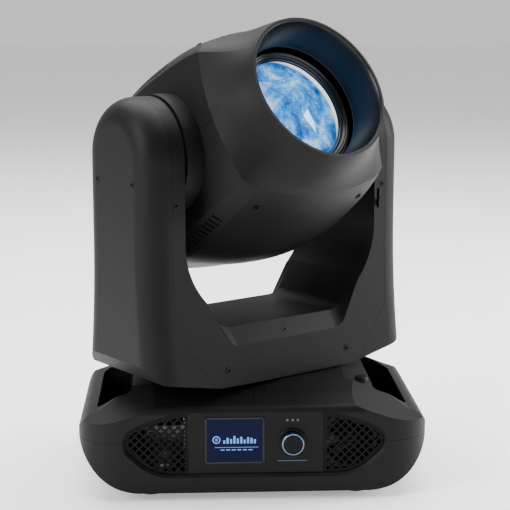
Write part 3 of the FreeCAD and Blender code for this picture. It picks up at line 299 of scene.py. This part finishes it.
# ---------------------------------------------------------------- added pieces
def settle(mesh, name, body, finish, place, smooth=True):
    """Turns a bmesh into a piece in its place on a body."""
    bmesh.ops.transform(mesh, matrix=place, verts=mesh.verts)
    bmesh.ops.remove_doubles(mesh, verts=mesh.verts, dist=1e-6)
    bmesh.ops.recalc_face_normals(mesh, faces=mesh.faces)
    data = bpy.data.meshes.new(name)
    mesh.to_mesh(data)
    mesh.free()
    for polygon in data.polygons:
        polygon.use_smooth = smooth
    data.materials.append(finish)
    piece = bpy.data.objects.new(name, data)
    bpy.context.collection.objects.link(piece)
    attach(piece, body)
    return piece


def slab(mesh, x, y, width, height, thick, bevel=0.0):
    """A thin bar lying on local XY, added to a bmesh."""
    made = bmesh.ops.create_cube(mesh, size=1)["verts"]
    bmesh.ops.scale(mesh, vec=(width, height, thick), verts=made)
    bmesh.ops.translate(mesh, vec=(x, y, thick / 2), verts=made)
    if bevel:
        edges = list({edge for v in made for edge in v.link_edges})
        bmesh.ops.bevel(mesh, geom=edges, offset=bevel, affect="EDGES", segments=2,
                        profile=0.5, material=-1)


def hoop(mesh, x, y, outer, inner, thick, steps=48):
    """A flat ring lying on local XY, added to a bmesh."""
    profile = [(inner, 0), (outer, 0), (outer, thick), (inner, thick)]
    spots = [mesh.verts.new((x + r, y, z)) for r, z in profile]
    edges = [mesh.edges.new((spots[i], spots[(i + 1) % 4])) for i in range(4)]
    bmesh.ops.spin(mesh, geom=spots + edges, cent=(x, y, 0), axis=(0, 0, 1),
                   angle=math.tau, steps=steps, use_merge=True)


def make_display_graphics():
    """A generic start page: a ring, level bars, a rule line and a row of short dashes."""
    low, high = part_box("display_screen")
    middle = Vector(((low[0] + high[0]) / 2, low[1], (low[2] + high[2]) / 2))
    mesh = bmesh.new()
    thick = 0.15 * MM
    ring_x, ring_y = -21 * MM, 1 * MM
    bar_start, bar_step, bar_wide, bar_foot = -12, 3.9, 2.4, -3.5
    dash_start, dash_step, dash_wide, dash_tall, dash_y = -14, 6.4, 4.6, 1.2, -11
    hoop(mesh, ring_x, ring_y, 4.6 * MM, 3.3 * MM, thick)
    hoop(mesh, ring_x, ring_y, 1.6 * MM, 0.6 * MM, thick)
    for index, tall in enumerate((4, 7, 5.5, 9, 6, 8, 4.5, 7.5, 6.5, 5)):
        slab(mesh, (bar_start + bar_step * index) * MM, (tall / 2 + bar_foot) * MM,
             bar_wide * MM, tall * MM, thick)
    slab(mesh, 2 * MM, -8 * MM, 50 * MM, 0.5 * MM, thick)
    for index in range(6):
        slab(mesh, (dash_start + dash_step * index) * MM, dash_y * MM, dash_wide * MM,
             dash_tall * MM, thick)
    settle(mesh, "display_graphics", "base",
           lit_ink("display_ink_pale_blue", "#3a86f0", 1.3),
           Matrix.Translation(middle) @ FRONT, smooth=False)


def make_panel_marks():
    """Three indicator lamps above the knob and a printed rule below it."""
    low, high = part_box("front_panel")
    knob = Vector(joints["knob_turn"]["pos_m"])
    mesh = bmesh.new()
    lamp_step, lamp_y, lamp_radius = 6, 26, 1.3
    rule_y, rule_wide, rule_tall = -22.5, 34, 0.7
    for index in (-1, 0, 1):
        hoop(mesh, index * lamp_step * MM, lamp_y * MM, lamp_radius * MM, 0.2 * MM, 0.5 * MM,
             steps=24)
    slab(mesh, 0, rule_y * MM, rule_wide * MM, rule_tall * MM, 0.1 * MM)
    place = Matrix.Translation((knob.x, low[1], knob.z)) @ FRONT
    # the lamps and the printed rule share one glowing grey ink; on the printed rule the glow is
    # painted light
    settle(mesh, "panel_marks", "base",
           lit_ink("panel_lamp_and_rule_glow_grey", "#8f9aa6", 0.25), place, smooth=False)


def turned_shell(mesh, profile, steps=128):
    """A ring swept round local Z from a closed (radius, height) outline."""
    spots = [mesh.verts.new((radius, 0, height)) for radius, height in profile]
    count = len(spots)
    edges = [mesh.edges.new((spots[i], spots[(i + 1) % count])) for i in range(count)]
    bmesh.ops.spin(mesh, geom=spots + edges, cent=(0, 0, 0), axis=(0, 0, 1), angle=math.tau,
                   steps=steps, use_merge=True)


def make_hood_liner():
    """Painted liner of the hood: a smooth cone, given as (radius, height) from rim to foot."""
    mesh = bmesh.new()
    inner = [(84.6, 153.4), (84.1, 152.6), (82.6, 146), (80.2, 134), (77.6, 121), (75.3, 111.6),
             (74.6, 110.4)]
    outer = [(75.9, 110.2), (77.9, 121), (80.5, 134), (82.9, 146), (84.5, 152.6)]
    turned_shell(mesh, [(radius * MM, level * MM) for radius, level in inner + outer])
    settle(mesh, "hood_liner", "head", hood_liner_paint(), HEAD)


def make_lens_trim():
    """Stepped collar round the lens, and the ring that keeps the lens in it."""
    mesh = bmesh.new()
    collar = [(66.3, 97.4), (67.2, 99.6), (68.6, 100.6), (69.8, 100.8), (70.2, 102.6),
              (71.4, 103.4), (72.6, 103.2), (73, 100.2), (66.3, 96.9)]
    turned_shell(mesh, [(radius * MM, level * MM) for radius, level in collar])
    settle(mesh, "lens_collar", "head", hood_liner_paint(), HEAD)
    mesh = bmesh.new()
    keeper = [(64.7, 95.2), (65.4, 96.8), (66.1, 97.1), (66.1, 96.2), (64.9, 95.0)]
    turned_shell(mesh, [(radius * MM, level * MM) for radius, level in keeper])
    settle(mesh, "lens_retaining_ring", "head", finishes["silver_blue"], HEAD)


def make_rear_pins():
    """Contacts inside the round data sockets of the rear."""
    low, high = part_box("data_connectors")
    mesh = bmesh.new()
    across, up = high[0] - low[0], high[2] - low[2]
    socket = min(across, up) / 2.4      # two sockets and the gap between them
    circle, pin_radius, pin_bore, pin_length = 4.2 * MM, 1.1 * MM, 0.2 * MM, 5 * MM
    depth = 7 * MM
    for column in (-1, 1):
        for row in (-1, 1):
            middle = (column * (across - socket) / 2, row * (up - socket) / 2)
            for turn in (90, 210, 330):
                angle = math.radians(turn)
                hoop(mesh, middle[0] + circle * math.cos(angle),
                     middle[1] + circle * math.sin(angle), pin_radius, pin_bore, pin_length,
                     steps=12)
    place = Matrix.Translation(((low[0] + high[0]) / 2, high[1] - depth,
                                (low[2] + high[2]) / 2))
    settle(mesh, "data_contacts", "base", finishes["bare_steel"], place @ REAR,
           smooth=False)


def make_screen_frame():
    """Thin black gasket round the display glass."""
    low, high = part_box("display_screen")
    wide, tall = high[0] - low[0], high[2] - low[2]
    edge, proud, bevel = 1.6 * MM, 0.4 * MM, 0.12 * MM
    mesh = bmesh.new()
    for sign in (-1, 1):
        slab(mesh, sign * (wide - edge) / 2, 0, edge, tall, proud, bevel)
        slab(mesh, 0, sign * (tall - edge) / 2, wide, edge, proud, bevel)
    place = Matrix.Translation(((low[0] + high[0]) / 2, low[1], (low[2] + high[2]) / 2))
    settle(mesh, "screen_gasket", "base", finishes["rubber"], place @ FRONT,
           smooth=False)


make_display_graphics()
make_panel_marks()
make_hood_liner()
make_lens_trim()
make_rear_pins()
make_screen_frame()


# ---------------------------------------------------------------- floor, light and camera
def make_floor():
    bpy.ops.mesh.primitive_plane_add(size=30, location=(0, 0, -0.0005))
    floor = bpy.context.object
    floor.name = "floor"
    made, tree, here = start("white_studio_floor")
    mottle = add(tree, "ShaderNodeTexNoise", {"Vector": here, "Scale": 2.0})
    shade = add(tree, "ShaderNodeMix", {0: mottle.outputs["Fac"], 6: tone("#f7f7f7"),
                                        7: tone("#fbfbfb")}, data_type="RGBA")
    floor.data.materials.append(close(made, tree, {"Base Color": shade.outputs[2],
                                                   "Roughness": 0.7,
                                                   "Emission Color": tone("#ffffff"),
                                                   "Emission Strength": 0.4}))


def lamp(name, place, aim, size, power):
    data = bpy.data.lights.new(name, "AREA")
    data.shape = "RECTANGLE"
    data.size, data.size_y = size
    data.energy = power
    item = bpy.data.objects.new(name, data)
    item.location = place
    item.rotation_euler = (Vector(aim) - Vector(place)).to_track_quat("-Z", "Y").to_euler()
    bpy.context.collection.objects.link(item)


def make_studio():
    world = bpy.data.worlds.new("studio")
    bpy.context.scene.world = world
    world.use_nodes = True
    tree = world.node_tree
    toward = add(tree, "ShaderNodeTexCoord").outputs["Generated"]
    depth = add(tree, "ShaderNodeSeparateXYZ", {"Vector": toward}).outputs["Y"]
    glow = add(tree, "ShaderNodeMapRange", {"Value": depth, "From Min": 0.1, "From Max": 0.9,
                                            "To Min": 0.22, "To Max": 0.8})
    back = tree.nodes["Background"]
    back.inputs["Color"].default_value = tone("#ffffff")
    tree.links.new(glow.outputs["Result"], back.inputs["Strength"])
    aim = (0, 0, 0.3)
    lamp("overhead", (0.0, 0.7, 2.6), (0, 0.1, 0), (3.4, 2.6), 210)
    lamp("key_left", (-1.9, -1.2, 1.3), aim, (0.8, 1.5), 60)
    lamp("edge_right", (1.8, 0.2, 0.9), aim, (0.4, 1.4), 50)


def make_camera():
    """Looks at the middle from 10.3 degrees above level and 2.8 degrees to the left."""
    target = Vector((6.9, 0, 261.1)) * MM
    distance = 1.7634
    level, side = math.radians(10.3), math.radians(-2.8)
    away = Vector((math.sin(side) * math.cos(level), -math.cos(side) * math.cos(level),
                   math.sin(level)))
    data = bpy.data.cameras.new("camera")
    data.sensor_width = 36
    data.lens = 102.35
    item = bpy.data.objects.new("camera", data)
    item.location = target + away * distance
    item.rotation_euler = (-away).to_track_quat("-Z", "Y").to_euler()
    bpy.context.collection.objects.link(item)
    bpy.context.scene.camera = item


make_floor()
make_studio()
make_camera()
